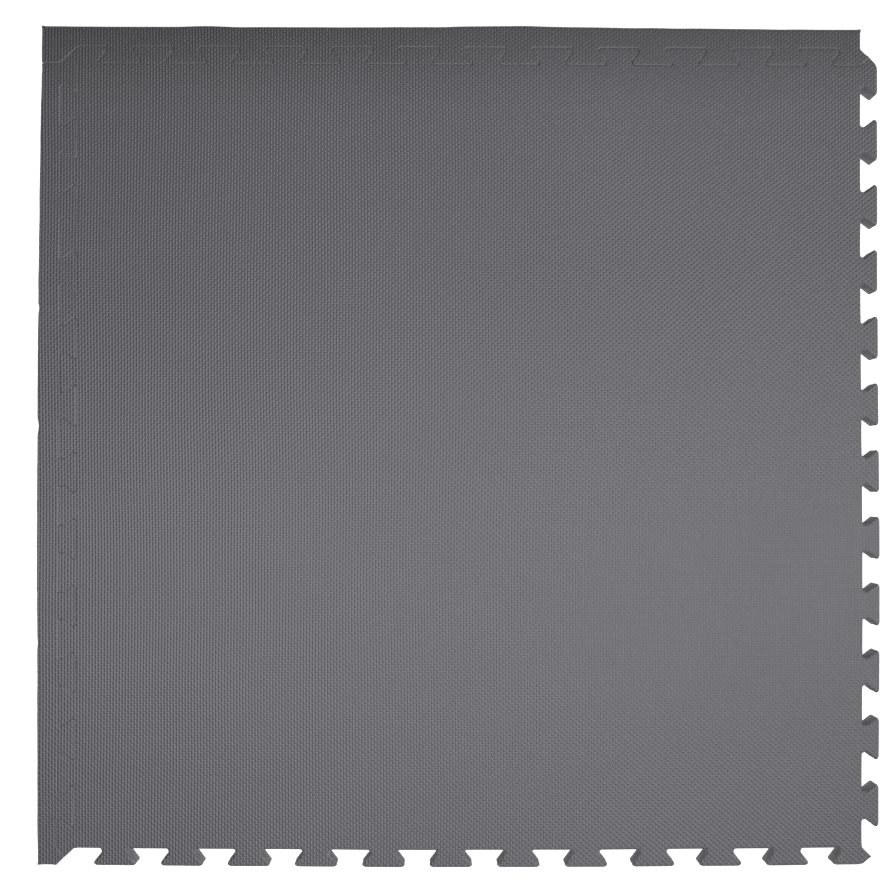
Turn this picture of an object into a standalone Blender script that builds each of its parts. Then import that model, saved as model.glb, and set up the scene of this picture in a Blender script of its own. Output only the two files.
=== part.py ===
"""An interlocking foam blocking mat with two border strips clipped to its left and top sides.

The mat lies flat on z = 0. The middle of the mat's body is at x = y = 0. The right and bottom
sides are free and show their teeth, and the border strips fill the sockets of the other two.
"""

import math

import bmesh
import bpy
from mathutils import Vector

# Driving dimensions, in metres.
MODULE = 1.000  # distance that one mat adds to a row of clipped mats
THICKNESS = 0.020
TEETH_PER_SIDE = 12
TOOTH_DEPTH = 0.0212
TIP_SHARE = 0.69  # width of a tooth's tip, as a share of the tooth pitch
BORDER_BAND = 0.0241  # plain part of a border strip, outside the line of the tooth tips
SEAM = 0.0004  # gap between two die-cut edges that are clipped together
CUT_RADIUS = 0.0036  # rounding of a tooth's corners, set by the bent cutting rule
POINT_RADIUS = 0.0008  # rounding where two straight cutting rules meet at a corner
ELBOW_RADIUS = 0.012  # rounding of the blunt corners beside a corner square
END_RADIUS = 0.0012  # rounding of a border strip's outer corners
ARC_STEP = math.radians(20.0)  # largest turn between two points of a rounded corner
STRAIGHT = math.radians(2.0)  # a turn smaller than this needs no rounding

# Dimensions that follow from the driving ones.
PITCH = MODULE / TEETH_PER_SIDE
TIP_HALF = PITCH * TIP_SHARE / 2
ROOT_HALF = PITCH * (1 - TIP_SHARE) / 2
BODY_HALF = (MODULE - TOOTH_DEPTH) / 2  # half the side of the mat inside its teeth
TIP_LINE = BODY_HALF + TOOTH_DEPTH
OUTER_LINE = TIP_LINE + BORDER_BAND
CORNER_MIDDLE = BODY_HALF + TOOTH_DEPTH / 2  # where four clipped mats meet
FIRST_TOOTH = PITCH / 4 - TOOTH_DEPTH / 2  # from a body corner, so that equal mats clip together

# Colours are linear red, green and blue, before any light falls on them.
MAT_COLOUR = (0.158, 0.154, 0.168, 1.0)
LEFT_STRIP_COLOUR = (0.152, 0.150, 0.164, 1.0)
TOP_STRIP_COLOUR = (0.149, 0.146, 0.159, 1.0)
FOAM_ROUGHNESS = 0.82


def side_cut():
    """The cut along one side of the mat as (along, out, radius), clockwise seen from above.

    along runs from the body corner where the side starts, and out is away from the mat.
    The first tooth shares its corner square with the neighbouring pieces and has an arrow point.
    """
    cut = [
        (0.0, 0.0, POINT_RADIUS),
        (-TOOTH_DEPTH / 2, TOOTH_DEPTH / 2, POINT_RADIUS),
        (0.0, TOOTH_DEPTH, ELBOW_RADIUS),
        (FIRST_TOOTH + TIP_HALF, TOOTH_DEPTH, CUT_RADIUS),
        (FIRST_TOOTH + ROOT_HALF, 0.0, CUT_RADIUS),
    ]
    for k in range(1, TEETH_PER_SIDE):
        centre = FIRST_TOOTH + k * PITCH
        cut += [
            (centre - ROOT_HALF, 0.0, CUT_RADIUS),
            (centre - TIP_HALF, TOOTH_DEPTH, CUT_RADIUS),
            (centre + TIP_HALF, TOOTH_DEPTH, CUT_RADIUS),
            (centre + ROOT_HALF, 0.0, CUT_RADIUS),
        ]
    return cut


def top_side():
    """The cut of the top side as (x, y, radius), from left to right."""
    return [(along - BODY_HALF, BODY_HALF + out, r) for along, out, r in side_cut()]


def quarter_turn(corners, times):
    """The corners turned clockwise about the middle of the mat, a quarter turn each time."""
    for _ in range(times):
        corners = [(y, -x, r) for x, y, r in corners]
    return corners


def mat_corners():
    """The mat's outline: the same cut on each of its four sides."""
    corners = []
    for times in range(4):
        corners += quarter_turn(top_side(), times)
    return corners


def left_strip_corners():
    """The left strip's outline, clockwise from its lower outer corner."""
    outer = [
        (-OUTER_LINE, -TIP_LINE, END_RADIUS),
        (-OUTER_LINE, BODY_HALF, END_RADIUS),
        (-TIP_LINE, BODY_HALF, ELBOW_RADIUS),
        (-CORNER_MIDDLE, CORNER_MIDDLE, POINT_RADIUS),
        (-BODY_HALF, BODY_HALF, POINT_RADIUS),
    ]
    mated = quarter_turn(top_side(), 3)[:0:-1]
    lower_end = [(-TIP_LINE, -TIP_LINE, END_RADIUS)]
    return outer + mated + lower_end


def top_strip_corners():
    """The top strip's outline, clockwise from its left end. It turns the mat's top left corner."""
    outer = [
        (-TIP_LINE, BODY_HALF, ELBOW_RADIUS),
        (-OUTER_LINE, BODY_HALF, END_RADIUS),
        (-OUTER_LINE, OUTER_LINE, END_RADIUS),
        (BODY_HALF, OUTER_LINE, END_RADIUS),
        (BODY_HALF, TIP_LINE, END_RADIUS),
        (CORNER_MIDDLE, CORNER_MIDDLE, POINT_RADIUS),
        (BODY_HALF, BODY_HALF, POINT_RADIUS),
    ]
    mated = top_side()[:1:-1]
    return outer + mated


def turn_at(before, here, after):
    """The signed angle by which an outline turns at a corner, positive to the left."""
    first = here - before
    second = after - here
    return math.atan2(first.x * second.y - first.y * second.x, first.dot(second))


def inset(corners, distance):
    """The outline moved inwards by distance. The corners run clockwise."""
    moved = []
    for i, (x, y, radius) in enumerate(corners):
        here = Vector((x, y))
        before = Vector(corners[i - 1][:2])
        after = Vector(corners[(i + 1) % len(corners)][:2])
        first = (here - before).normalized()
        second = (after - here).normalized()
        normal_1 = Vector((first.y, -first.x))
        normal_2 = Vector((second.y, -second.x))
        shift = (normal_1 + normal_2) * (distance / (1 + normal_1.dot(normal_2)))
        moved.append((x + shift.x, y + shift.y, radius))
    return moved


def rounded(corners):
    """The outline's points, with each corner replaced by an arc of its own radius."""
    points = []
    for i, (x, y, radius) in enumerate(corners):
        here = Vector((x, y))
        before = Vector(corners[i - 1][:2])
        after = Vector(corners[(i + 1) % len(corners)][:2])
        turn = turn_at(before, here, after)
        if abs(turn) < STRAIGHT:
            continue
        reach = radius * math.tan(abs(turn) / 2)
        start = here + (before - here).normalized() * reach
        to_centre = (here - before).normalized().orthogonal() * math.copysign(radius, turn)
        centre = start + to_centre
        steps = max(1, math.ceil(abs(turn) / ARC_STEP))
        for step in range(steps + 1):
            angle = turn * step / steps
            arm = start - centre
            points.append(
                (
                    centre.x + arm.x * math.cos(angle) - arm.y * math.sin(angle),
                    centre.y + arm.x * math.sin(angle) + arm.y * math.cos(angle),
                )
            )
    return points


def foam_material(name, colour):
    """A matt foam in one colour."""
    material = bpy.data.materials.new(name)
    material.use_nodes = True
    shader = material.node_tree.nodes["Principled BSDF"]
    shader.inputs["Base Color"].default_value = colour
    shader.inputs["Roughness"].default_value = FOAM_ROUGHNESS
    shader.inputs["Metallic"].default_value = 0.0
    return material


def cut_sheet(name, corners, colour):
    """One piece cut straight through a foam sheet that lies on z = 0."""
    outline = rounded(inset(corners, SEAM / 2))
    shape = bmesh.new()
    lower = [shape.verts.new((x, y, 0.0)) for x, y in outline]
    upper = [shape.verts.new((x, y, THICKNESS)) for x, y in outline]
    shape.faces.new(lower)
    shape.faces.new(upper[::-1])
    for i in range(len(outline)):
        j = (i + 1) % len(outline)
        shape.faces.new((lower[j], lower[i], upper[i], upper[j]))
    mesh = bpy.data.meshes.new(name)
    shape.to_mesh(mesh)
    shape.free()
    mesh.materials.append(foam_material(name + "_foam", colour))
    piece = bpy.data.objects.new(name, mesh)
    bpy.context.scene.collection.objects.link(piece)
    return piece


for leftover in list(bpy.data.objects):
    bpy.data.objects.remove(leftover, do_unlink=True)

cut_sheet("mat_tile", mat_corners(), MAT_COLOUR)
cut_sheet("left_border_strip", left_strip_corners(), LEFT_STRIP_COLOUR)
cut_sheet("top_border_strip", top_strip_corners(), TOP_STRIP_COLOUR)
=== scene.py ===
"""The looks of the interlocking foam mat and its two border strips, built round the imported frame."""

import math

import bmesh
import bpy
import numpy as np
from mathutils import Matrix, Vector, noise
from mathutils.geometry import delaunay_2d_cdt
from mathutils.kdtree import KDTree


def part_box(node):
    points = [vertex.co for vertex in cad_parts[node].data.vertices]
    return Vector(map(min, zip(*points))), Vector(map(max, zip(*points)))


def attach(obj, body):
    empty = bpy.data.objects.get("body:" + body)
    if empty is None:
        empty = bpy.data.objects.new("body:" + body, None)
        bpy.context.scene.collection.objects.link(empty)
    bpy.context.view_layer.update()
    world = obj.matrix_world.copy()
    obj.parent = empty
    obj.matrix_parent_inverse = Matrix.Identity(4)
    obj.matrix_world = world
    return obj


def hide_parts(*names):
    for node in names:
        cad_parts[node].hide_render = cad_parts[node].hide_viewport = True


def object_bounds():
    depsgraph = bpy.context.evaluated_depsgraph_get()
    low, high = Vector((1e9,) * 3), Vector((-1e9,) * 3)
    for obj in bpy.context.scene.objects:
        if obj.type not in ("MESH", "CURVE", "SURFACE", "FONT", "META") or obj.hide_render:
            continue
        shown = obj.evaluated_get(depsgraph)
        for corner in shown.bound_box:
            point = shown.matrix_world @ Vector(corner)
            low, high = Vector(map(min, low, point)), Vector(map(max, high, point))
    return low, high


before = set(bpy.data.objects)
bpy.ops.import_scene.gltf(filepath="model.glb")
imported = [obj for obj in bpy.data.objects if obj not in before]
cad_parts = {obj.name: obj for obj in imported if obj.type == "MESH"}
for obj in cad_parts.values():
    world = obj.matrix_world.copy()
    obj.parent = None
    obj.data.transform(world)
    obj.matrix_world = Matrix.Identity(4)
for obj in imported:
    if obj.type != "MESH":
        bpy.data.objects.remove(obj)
CAD_LOW, CAD_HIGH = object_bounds()

MM = 0.001
THICKNESS = CAD_HIGH[2] - CAD_LOW[2]
TIP_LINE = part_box("mat_tile")[1][0]  # the line of the tooth tips, from the middle of the mat
SOCKET_LINE = -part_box("left_border_strip")[1][0]  # the line of the socket bottoms
MITRE_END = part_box("top_border_strip")[0][1]  # where the two strips part at the outer edge

# The cut edge. Each entry is (how far inside the cut line, how far below the upper face).
TOP_ROLL = (
    (1.0 * MM, 0.0),
    (0.7 * MM, 0.1 * MM),
    (0.4 * MM, 0.34 * MM),
    (0.14 * MM, 0.74 * MM),
    (0.0, 1.3 * MM),
)
SKIN_RINGS = 1  # how many of the rings between those lines keep the skin's colour along a seam; the rings below take the paler cut colour, a painted highlight for the light line along a seam's lit edge
FREE_SKIN_RINGS = 3  # the same on a free side, where the skin's colour goes further down the roll, so no painted highlight shows and the rim stays dark
# Each entry is (how far inside the cut line, how high above the underside).
BOTTOM_ROLL = ((0.0, 0.8 * MM), (0.06 * MM, 0.4 * MM), (0.25 * MM, 0.12 * MM), (0.55 * MM, 0.0))
WALL_LEVELS = (0.8, 0.62, 0.44, 0.26)  # shares of the thickness
WALL_HOLLOW = 0.3 * MM  # the cutting rule leaves the wall a little hollow at half height
WALL_RIPPLE = 0.1 * MM
OUTLINE_STEP = 3.0 * MM
SEAM_CLOSE = 0.16 * MM  # how far each piece grows into the CAD model's seam gap
FREE_ROLL = 1.7  # how much softer the roll is where no other piece meets the edge
CORNER_EASE = 400.0  # how fast the roll may widen away from a tight corner, per metre
MEETING = 1.5 * MM  # outlines nearer than this to each other meet in a seam
SAG = 0.2 * MM  # how far the upper face has sunk beside a cut
SAG_REACH = 3.4 * MM
INNER_LINES = (1.5 * MM, 3.8 * MM)  # lines of points that follow the cut on the upper face
NEAR_GRID = 6.0 * MM
NEAR_BAND = 16.0 * MM
OPEN_GRID = 11.0 * MM
UNDER_GRID = 16.0 * MM
SWELL = 0.45 * MM  # slow waves of the upper face
RIPPLE = 0.12 * MM
CUT_WANDER = 0.45 * MM  # slow wandering of every cut line
LEAN = 3.0 * MM  # how far the upper left corner leans to the right
DROOP = 5.0 * MM  # how far the upper right corner lies below the rest of the right side
RISE = 1.35 * MM  # how far the rest of the right side lies high
BOTTOM_BULGE = 3.8 * MM  # how far the free bottom side bulges out at its middle
BOTTOM_SPREAD = 2.6 * MM  # how far the teeth of the bottom side have spread from its middle
RIGHT_BULGE = 3.1 * MM  # how far the free right side bulges out, most in its lower half
BULGE_MIDDLE = -0.27  # where the right side bulges most, as a share of the tip line
BULGE_REACH = 0.5
RIGHT_GROWTH = 0.6 * MM  # how far the whole right side lies out
BOTTOM_SHIFT = 0.6 * MM  # how far the bottom side's teeth lie to the left
SPREAD_MIDDLE = -0.02  # x that the bottom side's teeth have spread from, in metres
SPREAD_HALF = 0.72  # half the length of the wave in that spread, in metres
DROOP_FROM, DROOP_TO = 0.69, 0.96  # shares of the height between which the droop sets in
RISE_REACH = 0.07  # share of the height over which the rise sets in
TOOTH_SPREAD = 1.6 * MM  # how much each flank of a free tooth has spread, at the tip
ROOT_SPREAD = 0.55  # the same at the root, as a share of that
BOW = 4.2 * MM  # how far the left strip's outer edge bows out at half height
NICK = 4.5 * MM  # depth of the small nicks in the left strip's outer edge
END_NICK = 1.5 * MM  # depth of the nick where the two strips meet at the outer edge
TOP_WIDTH = 1.2 * MM  # how much wider the top strip is than the left one, except at its right end
TOP_SWELLS = ((0.06, 0.075, 2.3 * MM), (-0.33, 0.03, 1.7 * MM))  # (x, reach, height) in metres


def soft_noise(x, y, size, seed):
    """Soft noise from about -1 to 1 whose lumps are about size metres across."""
    return noise.noise(Vector((x / size + 17.3 * seed, y / size - 9.1 * seed, 3.7 * seed)))


def outline_of(node):
    """The outline of a CAD node's upper face as a closed loop of (x, y), anticlockwise from above."""
    shape = bmesh.new()
    shape.from_mesh(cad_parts[node].data)
    bmesh.ops.remove_doubles(shape, verts=shape.verts, dist=1e-6)
    top = CAD_HIGH[2] - 1e-5
    following = {}
    for edge in shape.edges:
        if min(vert.co.z for vert in edge.verts) < top:
            continue
        flat = [face for face in edge.link_faces if face.normal.z > 0.5]
        if len(flat) != 1:
            continue
        for loop in flat[0].loops:
            if loop.edge == edge:
                start, end = loop.vert, loop.link_loop_next.vert
                following[start.index] = (end.index, end.co.x, end.co.y)
    points = []
    first = here = next(iter(following))
    while True:
        here, x, y = following[here]
        points.append((x, y))
        if here == first:
            break
    shape.free()
    return np.array(points)


def resampled(points, step):
    """The same closed loop with more points on its long edges."""
    out = []
    for a, b in zip(points, np.roll(points, -1, axis=0)):
        pieces = max(1, round(float(np.hypot(*(b - a))) / step))
        out += [a + (b - a) * i / pieces for i in range(pieces)]
    return np.array(out)


def outward(points):
    """The outward normal at each point of an anticlockwise loop.

    It's lengthened at corners, so that an offset keeps its width.
    """
    before = points - np.roll(points, 1, axis=0)
    after = np.roll(points, -1, axis=0) - points
    before /= np.linalg.norm(before, axis=1)[:, None]
    after /= np.linalg.norm(after, axis=1)[:, None]
    n1 = np.stack([before[:, 1], -before[:, 0]], axis=1)
    n2 = np.stack([after[:, 1], -after[:, 0]], axis=1)
    return (n1 + n2) / (1 + (n1 * n2).sum(axis=1))[:, None].clip(0.5)


def inside(points, loop):
    """Which points lie inside a closed loop."""
    found = np.zeros(len(points), bool)
    a, b = loop, np.roll(loop, -1, axis=0)
    for (x0, y0), (x1, y1) in zip(a, b):
        if y0 == y1:
            continue
        crosses = (points[:, 1] > y0) != (points[:, 1] > y1)
        at = x0 + (points[:, 1] - y0) * (x1 - x0) / (y1 - y0)
        found ^= crosses & (points[:, 0] < at)
    return found


def distances(points, loop):
    """The distance from each point to a closed loop of closely spaced points."""
    tree = KDTree(len(loop))
    for i, (x, y) in enumerate(loop):
        tree.insert((x, y, 0.0), i)
    tree.balance()
    return np.array([tree.find((x, y, 0.0))[2] for x, y in points])


def free_share(node, points):
    """For each point of an outline, 1 where no other piece meets it, falling softly to 0 along a seam."""
    others = [resampled(outline_of(name), 1.0 * MM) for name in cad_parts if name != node]
    meets = distances(points, np.concatenate(others)) < MEETING
    share = np.where(meets, 0.0, 1.0)
    for _ in range(2):
        share = (np.roll(share, 1) + 2 * share + np.roll(share, -1)) / 4
    return share


def seam_roll(x, y, seed):
    """How soft the roll is along a seam: softer towards the right, and uneven along it."""
    plain = min(max((x + 0.25) / 0.35, 0.0), 1.0)
    return 0.72 + 0.38 * plain + 0.4 * soft_noise(x, y, 0.03, 50 + seed)


def spread_teeth(node, points):
    """The outline with its free teeth a little wider, which leaves their depth as it is."""
    tooth_depth = TIP_LINE - SOCKET_LINE
    free = free_share(node, points)
    reach = np.abs(points).max(axis=1)
    out = np.clip((reach - SOCKET_LINE) / tooth_depth, 0.0, 1.0)
    spread = TOOTH_SPREAD * free * (ROOT_SPREAD + (1 - ROOT_SPREAD) * out)
    move = outward(points) * spread[:, None]
    across = np.abs(points[:, 0]) > np.abs(points[:, 1])
    move[across, 0] = 0.0
    move[~across, 1] = 0.0
    move[reach < SOCKET_LINE - 2 * MM] = 0.0
    return points + move


def roll_share(points, wanted):
    """wanted, cut down near tight outer corners so that no ring of the rolled edge crosses itself."""
    before = points - np.roll(points, 1, axis=0)
    after = np.roll(points, -1, axis=0) - points
    reach = np.linalg.norm(before, axis=1)
    turn = np.arctan2(
        before[:, 0] * after[:, 1] - before[:, 1] * after[:, 0],
        (before * after).sum(axis=1),
    )
    radius = (reach + np.linalg.norm(after, axis=1)) / 2 / np.maximum(turn, 1e-3)
    most = 0.75 * radius / TOP_ROLL[0][0]
    for _ in range(12):
        most = np.minimum(most, np.roll(most, 1) + CORNER_EASE * reach)
        most = np.minimum(most, np.roll(most + CORNER_EASE * reach, -1))
    return np.minimum(wanted, most)


def grid(loop, step, seed):
    """Grid points over a loop's box, each moved a little so that no rows show."""
    low, high = loop.min(axis=0), loop.max(axis=0)
    xs = np.arange(low[0] + step / 2, high[0], step)
    ys = np.arange(low[1] + step / 2, high[1], step)
    points = np.stack(np.meshgrid(xs, ys), axis=-1).reshape(-1, 2)
    random = np.random.default_rng(seed)
    return points + random.uniform(-0.18, 0.18, points.shape) * step


def filled(loop, extra):
    """(points, triangles) of the region inside a loop, whose own points come first."""
    points = [Vector(p) for p in np.concatenate([loop, extra])]
    faces = [list(range(len(loop)))]
    _, _, triangles, origin, _, _ = delaunay_2d_cdt(points, [], faces, 1, 1e-7, True)
    back = [ids[0] if ids else None for ids in origin]
    points = np.array(points)
    kept = [[back[i] for i in t] for t in triangles]
    kept = [t for t in kept if None not in t]
    middles = points[np.array(kept)].mean(axis=1)
    return points, [t for t, within in zip(kept, inside(middles, loop)) if within]


def eased(value, low, high):
    """0 below low, 1 above high, and a soft rise between them."""
    share = min(max((value - low) / (high - low), 0.0), 1.0)
    return share * share * (3 - 2 * share)


def bowed(x, y):
    """Where a point of the flat cut pattern really lies.

    The sheet is a little out of square, its free sides bulge, and every cut wanders.
    """
    dx = CUT_WANDER * soft_noise(x, y, 0.16, 1) + 0.3 * CUT_WANDER * soft_noise(x, y, 0.035, 2)
    dy = CUT_WANDER * soft_noise(x, y, 0.16, 3) + 0.3 * CUT_WANDER * soft_noise(x, y, 0.035, 4)
    across = (x - CAD_LOW[0]) / (CAD_HIGH[0] - CAD_LOW[0])
    up = (y - CAD_LOW[1]) / (CAD_HIGH[1] - CAD_LOW[1])
    dx += LEAN * (1 - across) * up * up
    rise = RISE * (1 - math.exp(-up / RISE_REACH))
    dy += across * (rise - DROOP * eased(up, DROOP_FROM, DROOP_TO))
    right = min(max(x / TIP_LINE, 0.0), 1.0)
    from_middle = (y / TIP_LINE - BULGE_MIDDLE) / BULGE_REACH
    dx += right * (RIGHT_GROWTH + RIGHT_BULGE * math.exp(-(from_middle**2)))
    low = min(max(-y / TIP_LINE, 0.0), 1.0)
    dy -= low * BOTTOM_BULGE * max(0.0, 1 - (x / TIP_LINE) ** 2)
    spread = BOTTOM_SPREAD * math.sin(math.pi * (x - SPREAD_MIDDLE) / SPREAD_HALF)
    dx += low * low * (spread - BOTTOM_SHIFT)
    left = max(0.0, -TIP_LINE - x) / (-TIP_LINE - CAD_LOW[0])
    if left:
        along = y / TIP_LINE
        dx -= left * BOW * (1 - along * along)
        dx += left * MM * (0.4 * soft_noise(y, 0, 0.05, 5) + 0.35 * soft_noise(y, 0, 0.018, 6))
        dx += left * NICK * max(0.0, soft_noise(y, 0, 0.021, 9) - 0.38)
        dx += left * END_NICK * math.exp(-abs(y - MITRE_END) / (2.5 * MM))
    above = max(0.0, y - TIP_LINE) / (CAD_HIGH[1] - TIP_LINE)
    if above:
        along = x / TIP_LINE
        wave = 0.9 * soft_noise(x, 0, 0.12, 7) + 0.3 * soft_noise(x, 0, 0.03, 8)
        dy += above * MM * (0.45 + 0.25 * along + wave)
        dy += above * TOP_WIDTH * (1 - eased(along, 0.45, 0.95))
        for at, reach, height in TOP_SWELLS:
            dy += above * height * math.exp(-(((x - at) / reach) ** 2))
    return x + dx, y + dy


def proud(node, x, y):
    """How far a strip stands above the mat: high at the right of the top seam, low towards its left."""
    if node == "top_border_strip":
        end = math.exp(-(x + TIP_LINE) / (30 * MM)) if x > -TIP_LINE else 1.0
        return MM * (0.1 + 0.3 * x / TIP_LINE + 0.35 * soft_noise(x, y, 0.07, 41) + 0.6 * end)
    if node == "left_border_strip":
        return MM * (0.1 + 0.5 * soft_noise(x, y, 0.07, 42))
    return 0.0


def surface_height(node, x, y, depth, seed):
    """How far the upper face stands above the CAD face, depth metres inside its nearest cut."""
    height = SWELL * soft_noise(x, y, 0.3, 11) + RIPPLE * soft_noise(x, y, 0.06, 12)
    height += 0.35 * MM * soft_noise(x, y, 0.13, 20 + seed) * math.exp(-depth / (14 * MM))
    return height + proud(node, x, y) - SAG * math.exp(-depth / SAG_REACH)


def foam_piece(name, node, seed, face_material, wall_material):
    """A cut sheet of foam on the outline of a CAD node, with soft cut edges and slightly hollow walls."""
    cut = outline_of(node)
    cut = cut + outward(cut) * SEAM_CLOSE
    cut = resampled(cut, OUTLINE_STEP)
    if node == "mat_tile":
        cut = spread_teeth(node, cut)
    normal = outward(cut)
    count = len(cut)
    dense = resampled(cut, 1.0 * MM)

    free = free_share(node, cut)
    along_seams = [seam_roll(x, y, seed) for x, y in cut]
    soft = roll_share(cut, np.where(free > 0.5, 1 + FREE_ROLL * free, along_seams))
    rings = []  # (points, share of the upper face's height, z of each point)
    for inset, drop in TOP_ROLL:
        rings.append((cut - normal * (inset * soft)[:, None], 1.0, THICKNESS - drop * soft))
    for share in WALL_LEVELS:
        hollow = WALL_HOLLOW * math.sin(math.pi * share)
        ripple = [WALL_RIPPLE * soft_noise(x + y, x - y + share, 0.012, 30 + seed) for x, y in cut]
        level = np.full(count, THICKNESS * share)
        rings.append((cut - normal * (hollow + np.array(ripple))[:, None], share, level))
    for inset, rise in BOTTOM_ROLL:
        line = cut - normal * (inset * np.minimum(soft, 1.0))[:, None]
        rings.append((line, 0.0, np.full(count, rise)))

    top_loop = rings[0][0]
    lines = []
    for inset in INNER_LINES:
        reach = inset + TOP_ROLL[0][0] * soft
        line = cut - normal * reach[:, None]
        held = inside(line, cut)
        line, reach = line[held], reach[held]
        line = line[distances(line, dense) > 0.96 * reach]
        kept = [line[0]]
        for point in line[1:]:
            if np.hypot(*(point - kept[-1])) > 0.6 * inset:
                kept.append(point)
        lines.append(np.array(kept))
    near = grid(cut, NEAR_GRID, seed)
    near = near[inside(near, cut)]
    depth = distances(near, dense)
    nearest = INNER_LINES[-1] + TOP_ROLL[0][0] * (1 + FREE_ROLL) + 0.3 * NEAR_GRID
    near = near[(depth > nearest) & (depth < NEAR_BAND)]
    wide = grid(cut, OPEN_GRID, seed + 10)
    wide = wide[inside(wide, cut)]
    wide = wide[distances(wide, dense) > NEAR_BAND]
    top_points, top_triangles = filled(top_loop, np.concatenate([*lines, near, wide]))
    top_depth = distances(top_points, dense)

    bottom_loop = rings[-1][0]
    under = grid(cut, UNDER_GRID, seed + 20)
    under = under[inside(under, cut)]
    under = under[distances(under, dense) > 4 * MM]
    bottom_points, bottom_triangles = filled(bottom_loop, under)

    verts, faces, slots = [], [], []
    lift = [surface_height(node, x, y, TOP_ROLL[0][0], seed) for x, y in top_loop]
    for points, share, levels in rings:
        for (x, y), z, up in zip(points, levels, lift):
            px, py = bowed(x, y)
            verts.append((px, py, z + up * share))
    for i in range(len(rings) - 1):
        for j in range(count):
            k = (j + 1) % count
            faces.append((i * count + j, (i + 1) * count + j, (i + 1) * count + k, i * count + k))
            # Along a seam, the roll below SKIN_RINGS takes the paler cut colour: a painted highlight for
            # the seam's lit edge.
            slots.append(0 if i < SKIN_RINGS or (i < FREE_SKIN_RINGS and free[j] > 0.5) else 1)
    start = len(verts) - count
    for (x, y), d in zip(top_points[count:], top_depth[count:]):
        px, py = bowed(x, y)
        verts.append((px, py, THICKNESS + surface_height(node, x, y, d, seed)))
    offset = len(rings) * count
    for triangle in top_triangles:
        faces.append([i if i < count else offset + i - count for i in triangle])
        slots.append(0)
    offset = len(verts)
    for x, y in bottom_points[count:]:
        px, py = bowed(x, y)
        verts.append((px, py, 0.0))
    for triangle in bottom_triangles:
        faces.append([start + i if i < count else offset + i - count for i in triangle][::-1])
        slots.append(0)

    mesh = bpy.data.meshes.new(name)
    mesh.from_pydata(verts, [], faces)
    mesh.validate()
    mesh.materials.append(face_material)
    mesh.materials.append(wall_material)
    mesh.polygons.foreach_set("material_index", slots)
    mesh.polygons.foreach_set("use_smooth", [True] * len(mesh.polygons))
    shape = bmesh.new()
    shape.from_mesh(mesh)
    bmesh.ops.recalc_face_normals(shape, faces=shape.faces)
    shape.to_mesh(mesh)
    shape.free()
    piece = bpy.data.objects.new(name, mesh)
    bpy.context.scene.collection.objects.link(piece)
    return piece


class Nodes:
    """Builds a material's nodes from short calls."""

    def __init__(self, name):
        self.material = bpy.data.materials.new(name)
        self.material.use_nodes = True
        self.tree = self.material.node_tree
        self.shader = self.tree.nodes["Principled BSDF"]

    def put(self, socket, value):
        if isinstance(value, bpy.types.NodeSocket):
            self.tree.links.new(value, socket)
        else:
            socket.default_value = value

    def math(self, operation, *values):
        node = self.tree.nodes.new("ShaderNodeMath")
        node.operation = operation
        for socket, value in zip(node.inputs, values):
            self.put(socket, value)
        return node.outputs[0]

    def add(self, a, b):
        return self.math("ADD", a, b)

    def times(self, a, b):
        return self.math("MULTIPLY", a, b)

    def ramp(self, value, low, high, to_low, to_high):
        node = self.tree.nodes.new("ShaderNodeMapRange")
        node.clamp = True
        for socket, item in zip(node.inputs, (value, low, high, to_low, to_high)):
            self.put(socket, item)
        return node.outputs[0]

    def place(self):
        node = self.tree.nodes.new("ShaderNodeTexCoord")
        return node.outputs["Object"]

    def split(self, vector):
        node = self.tree.nodes.new("ShaderNodeSeparateXYZ")
        self.put(node.inputs[0], vector)
        return node.outputs

    def join(self, x, y, z):
        node = self.tree.nodes.new("ShaderNodeCombineXYZ")
        for socket, value in zip(node.inputs, (x, y, z)):
            self.put(socket, value)
        return node.outputs[0]

    def scaled(self, vector, factors):
        node = self.tree.nodes.new("ShaderNodeVectorMath")
        node.operation = "MULTIPLY"
        self.put(node.inputs[0], vector)
        self.put(node.inputs[1], factors)
        return node.outputs[0]

    def noise(self, vector, scale, detail=2.0, rough=0.5):
        node = self.tree.nodes.new("ShaderNodeTexNoise")
        self.put(node.inputs["Vector"], vector)
        self.put(node.inputs["Scale"], scale)
        self.put(node.inputs["Detail"], detail)
        self.put(node.inputs["Roughness"], rough)
        return node.outputs["Fac"]

    def cells(self, vector, scale):
        node = self.tree.nodes.new("ShaderNodeTexVoronoi")
        self.put(node.inputs["Vector"], vector)
        self.put(node.inputs["Scale"], scale)
        return node.outputs["Distance"]

    def chance(self, vector):
        node = self.tree.nodes.new("ShaderNodeTexWhiteNoise")
        node.noise_dimensions = "3D"
        self.put(node.inputs["Vector"], vector)
        return node.outputs["Value"]

    def mix(self, factor, first, second):
        node = self.tree.nodes.new("ShaderNodeMix")
        node.data_type = "RGBA"
        self.put(node.inputs[0], factor)
        self.put(node.inputs[6], first)
        self.put(node.inputs[7], second)
        return node.outputs[2]

    def bump(self, height, distance):
        node = self.tree.nodes.new("ShaderNodeBump")
        self.put(node.inputs["Height"], height)
        self.put(node.inputs["Strength"], 1.0)
        self.put(node.inputs["Distance"], distance)
        return node.outputs[0]


COLUMN = 3.78 * MM  # width of one embossed cell
ROW = 3.275 * MM  # length of one embossed cell
EMBOSS_DEPTH = 1.5 * MM
RIB = 0.205  # shares of the depth: upright ribs,
WEAVE = 0.34  # cells that stand high and low in turn,
BAR = 0.055  # and level bars
LEAN_SHARE = 0.9  # how far the high cells run together on a slant
SLANT_TURNS_AT = (0.12, -0.16)  # x and y where the slant changes its sign
SLANT_TURN_RATE = 4.0  # how fast it changes there, per metre
LIGHT_GREY = (0.163, 0.159, 0.174, 1.0)
DARK_GREY = (0.13, 0.127, 0.14, 1.0)
WALL_GREY = (0.255, 0.251, 0.265, 1.0)
WALL_DARK = (0.19, 0.186, 0.2, 1.0)


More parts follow.
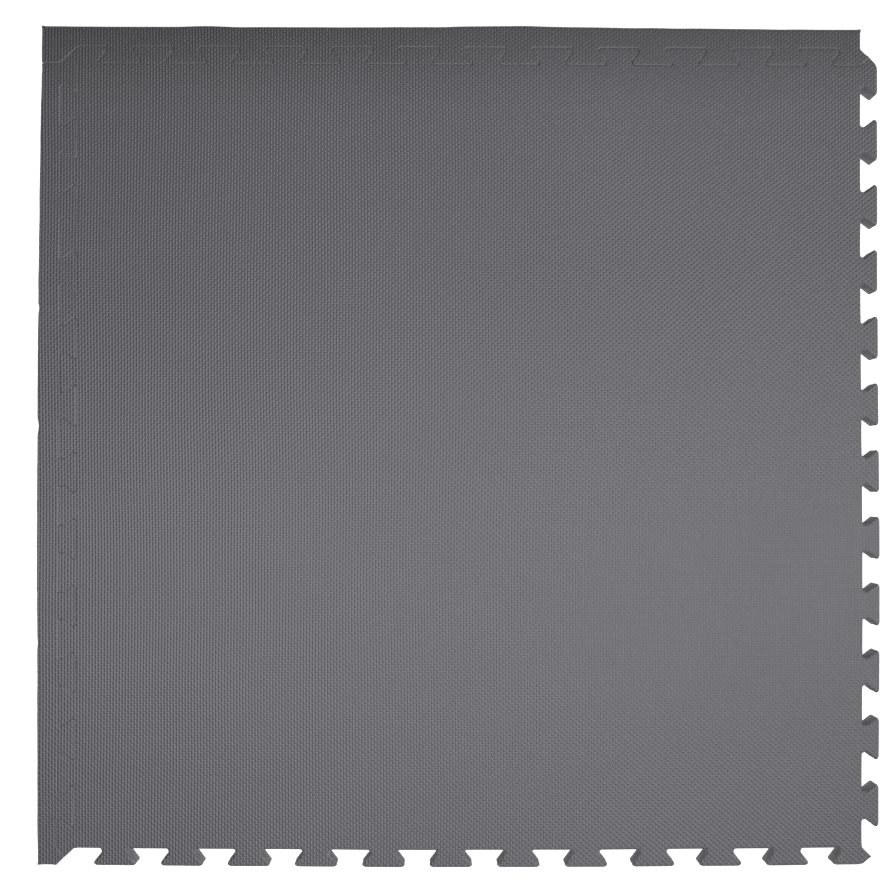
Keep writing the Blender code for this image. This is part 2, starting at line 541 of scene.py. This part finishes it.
def embossed_foam(name, tint):
    """Matt foam whose skin is pressed into a fine weave of ribs, bars, and high and low cells."""
    n = Nodes(name)
    place = n.place()
    x, y, z = n.split(place)
    warp_x = n.math("SUBTRACT", n.noise(place, 3.1, 1.0), 0.5)
    warp_y = n.math("SUBTRACT", n.noise(n.scaled(place, (1.0, 1.0, -1.0)), 2.3, 1.0), 0.5)
    far = n.math("MAXIMUM", n.math("SUBTRACT", y, 0.22), 0.0)
    u = n.times(n.add(x, n.times(warp_x, 9 * MM)), 1 / COLUMN)
    v = n.times(n.add(n.add(y, n.times(warp_y, 10 * MM)), n.times(n.times(far, far), 0.36)), 1 / ROW)
    luck = n.chance(n.join(n.math("FLOOR", u), n.math("FLOOR", v), 0.0))

    # The slant of the weave changes its sign from each quarter of the sheet to the next.
    side = n.math("TANH", n.times(n.math("SUBTRACT", x, SLANT_TURNS_AT[0]), SLANT_TURN_RATE))
    end = n.math("TANH", n.times(n.add(y, -SLANT_TURNS_AT[1]), SLANT_TURN_RATE))
    slant = n.times(side, end)
    first = n.math("COSINE", n.times(n.add(u, v), math.pi))
    second = n.math("COSINE", n.times(n.math("SUBTRACT", u, v), math.pi))
    weave = n.add(
        n.times(first, n.add(0.5, n.times(slant, -0.5 * LEAN_SHARE))),
        n.times(second, n.add(0.5, n.times(slant, 0.5 * LEAN_SHARE))),
    )
    calm = n.ramp(n.math("ABSOLUTE", n.add(y, 0.17)), 0.05, 0.38, 0.42, 1.0)
    weave = n.times(n.times(weave, calm), n.ramp(x, 0.0, 0.4, 1.0, 0.7))
    bars = n.math("COSINE", n.times(v, 2 * math.pi))
    ribs = n.math("COSINE", n.times(u, 2 * math.pi))
    relief = n.add(n.add(n.times(ribs, RIB), n.times(weave, WEAVE)), n.times(bars, BAR))
    relief = n.times(relief, n.add(0.86, n.times(luck, 0.28)))
    press = n.ramp(x, -0.46, 0.42, 1.05, 0.9)
    corner = n.times(n.ramp(x, -0.08, 0.22, 0.0, 1.0), n.ramp(y, 0.25, 0.5, 0.0, 1.0))
    press = n.times(press, n.math("SUBTRACT", 1.0, n.times(corner, 0.56)))
    press = n.add(press, n.times(n.math("SUBTRACT", n.noise(place, 4.0, 2.0), 0.5), 0.3))
    grain = n.noise(place, 1500.0, 3.0, 0.6)
    height = n.add(n.times(relief, press), n.times(grain, 0.06))

    # The colour is darker in the grooves of the ribs and bars: painted shade in the hollows of the
    # emboss. The rest of the tone varies at random.
    tone = n.add(0.42, n.add(n.times(bars, 0.34), n.times(ribs, 0.12)))
    tone = n.add(tone, n.times(n.math("SUBTRACT", luck, 0.5), 0.45))
    tone = n.add(tone, n.times(n.math("SUBTRACT", n.noise(place, 9.0, 3.0, 0.6), 0.5), 0.45))
    tone = n.add(tone, n.times(n.math("SUBTRACT", grain, 0.5), 0.6))
    dark, light = ([c * t for c, t in zip(grey, tint)] for grey in (DARK_GREY, LIGHT_GREY))
    colour = n.mix(tone, dark, light)
    speck = n.ramp(n.cells(place, 34.0), 0.0, 0.028, 1.0, 0.0)
    colour = n.mix(n.times(speck, 0.5), colour, (0.42, 0.41, 0.42, 1.0))
    n.put(n.shader.inputs["Base Color"], colour)
    n.put(n.shader.inputs["Roughness"], n.ramp(n.add(relief, n.times(grain, 0.3)), -0.4, 0.8, 0.6, 0.44))
    n.put(n.shader.inputs["Normal"], n.bump(height, EMBOSS_DEPTH))
    n.shader.inputs["Specular IOR Level"].default_value = 0.5
    return n.material


def cut_foam(name):
    """The open cells of foam where it was cut, with faint upright marks of the cutting rule, and a
    painted highlight along the top of the cut.
    """
    n = Nodes(name)
    place = n.place()
    cells = n.cells(place, 1100.0)
    fine = n.noise(place, 2600.0, 2.0, 0.6)
    drag = n.noise(n.scaled(place, (1.0, 1.0, 0.06)), 420.0, 2.0, 0.5)
    broad = n.noise(place, 35.0, 2.0, 0.5)
    height = n.add(n.add(n.times(cells, 0.8), n.times(fine, 0.35)), n.times(drag, 0.7))
    tone = n.add(n.times(cells, 0.55), n.add(n.times(drag, 0.35), n.times(broad, 0.35)))
    # Full colour at the top of the cut and a third darker down the wall: a painted highlight for the
    # light line along a seam's rolled edge.
    painted_edge_highlight = n.ramp(n.split(place)[2], THICKNESS - 3.5 * MM, THICKNESS - 1.2 * MM, 0.66, 1.0)
    pale = n.mix(tone, WALL_DARK, WALL_GREY)
    n.put(n.shader.inputs["Base Color"], n.mix(painted_edge_highlight, (0.0, 0.0, 0.0, 1.0), pale))
    n.put(n.shader.inputs["Normal"], n.bump(height, 0.22 * MM))
    n.put(n.shader.inputs["Roughness"], n.ramp(fine, 0.3, 0.7, 0.82, 0.95))
    n.shader.inputs["Specular IOR Level"].default_value = 0.3
    return n.material


wall = cut_foam("cut_foam")
PIECES = (
    ("foam_mat", "mat_tile", "mat", "mat_foam", 1, (1.0, 1.0, 1.0, 1.0)),
    (
        "foam_strip_left",
        "left_border_strip",
        "left_border",
        "left_strip_foam",
        2,
        (0.98, 0.985, 0.99, 1.0),
    ),
    (
        "foam_strip_top",
        "top_border_strip",
        "top_border",
        "top_strip_foam",
        3,
        (0.97, 0.97, 0.965, 1.0),
    ),
)
for name, node, body, slot, seed, tint in PIECES:
    skin = embossed_foam(name + "_skin", tint)
    piece = foam_piece(name, node, seed, skin, wall)
    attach(piece, body)
    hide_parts(node)

# The floor.
FLOOR_SIDE = 9.0
FLOOR_DROP = 0.4 * MM  # how far the floor lies below the pieces
floor_mesh = bpy.data.meshes.new("floor")
half = FLOOR_SIDE / 2
floor_corners = ((-half, -half), (half, -half), (half, half), (-half, half))
floor_mesh.from_pydata([(*corner, -FLOOR_DROP) for corner in floor_corners], [], [(0, 1, 2, 3)])
floor = bpy.data.objects.new("floor", floor_mesh)
bpy.context.scene.collection.objects.link(floor)
paper = Nodes("pale_paper")
paper.shader.inputs["Base Color"].default_value = (0.6, 0.6, 0.6, 1.0)
paper.shader.inputs["Roughness"].default_value = 0.9
paper.shader.inputs["Emission Color"].default_value = (1.0, 1.0, 1.0, 1.0)
paper.shader.inputs["Emission Strength"].default_value = 0.95
floor_mesh.materials.append(paper.material)

# The lights.
KEY_AT = (-0.03, -0.235, 1.52)
KEY_SIZE = 0.5
KEY_POWER = 19.5
SIDE_AT = (7.2, 0.45, 3.6)
SIDE_SIZE = 1.2
SIDE_POWER = 250.0
AMBIENT = 0.06


def soft_light(name, at, size, power):
    """A round area light that points at the middle of the mat and isn't seen itself."""
    data = bpy.data.lights.new(name, "AREA")
    data.shape = "DISK"
    data.size = size
    data.energy = power
    light = bpy.data.objects.new(name, data)
    light.location = at
    light.rotation_euler = (-Vector(at)).to_track_quat("-Z", "Y").to_euler()
    light.visible_camera = False
    bpy.context.scene.collection.objects.link(light)
    return light


soft_light("key_light", KEY_AT, KEY_SIZE, KEY_POWER)
side_light = soft_light("side_light", SIDE_AT, SIDE_SIZE, SIDE_POWER)
# A card between the key light and the top of the mat. It softens the light there and isn't seen.
CARD_EDGE = (0.279, 0.57)  # y and height of its lower edge
CARD_SIDES = (-1.6, 1.6)
CARD_DEPTH = 1.6
card_mesh = bpy.data.meshes.new("card")
card_mesh.from_pydata(
    [
        (CARD_SIDES[0], CARD_EDGE[0], CARD_EDGE[1]),
        (CARD_SIDES[1], CARD_EDGE[0], CARD_EDGE[1]),
        (CARD_SIDES[1], CARD_EDGE[0] + CARD_DEPTH, CARD_EDGE[1]),
        (CARD_SIDES[0], CARD_EDGE[0] + CARD_DEPTH, CARD_EDGE[1]),
    ],
    [],
    [(0, 1, 2, 3)],
)
card = bpy.data.objects.new("card", card_mesh)
bpy.context.scene.collection.objects.link(card)
card.visible_camera = False
card.visible_diffuse = False
card.visible_glossy = False
spared = bpy.data.collections.new("side_light_ignores")
spared.objects.link(card)
side_light.light_linking.blocker_collection = spared
spared.collection_objects[0].light_linking.link_state = "EXCLUDE"

world = bpy.data.worlds.new("studio")
world.use_nodes = True
background = world.node_tree.nodes["Background"]
background.inputs["Color"].default_value = (0.97, 0.985, 1.0, 1.0)
background.inputs["Strength"].default_value = AMBIENT
scene = bpy.context.scene
scene.world = world
scene.view_settings.view_transform = "Standard"

# The camera looks straight down.
CAMERA_HEIGHT = 1.33
FRAME_WIDTH = 1.1165  # what the picture spans at the upper face
FRAME_OFFSET = (-12.9 * MM, -2.7 * MM)  # from the middle of the object to the middle of the picture
OFF_AXIS = (16.2 * MM, 46.1 * MM)  # how far the picture's middle lies from the point below the lens
middle = (CAD_LOW + CAD_HIGH) / 2
camera_data = bpy.data.cameras.new("camera")
camera_data.sensor_width = 36.0
camera_data.lens = camera_data.sensor_width * (CAMERA_HEIGHT - THICKNESS) / FRAME_WIDTH
camera_data.clip_start = 0.05
camera = bpy.data.objects.new("camera", camera_data)
camera_data.shift_x = OFF_AXIS[0] / FRAME_WIDTH
camera_data.shift_y = OFF_AXIS[1] / FRAME_WIDTH
aim = [middle[i] + FRAME_OFFSET[i] - OFF_AXIS[i] for i in (0, 1)]
camera.location = (*aim, CAMERA_HEIGHT)
bpy.context.scene.collection.objects.link(camera)
scene.camera = camera
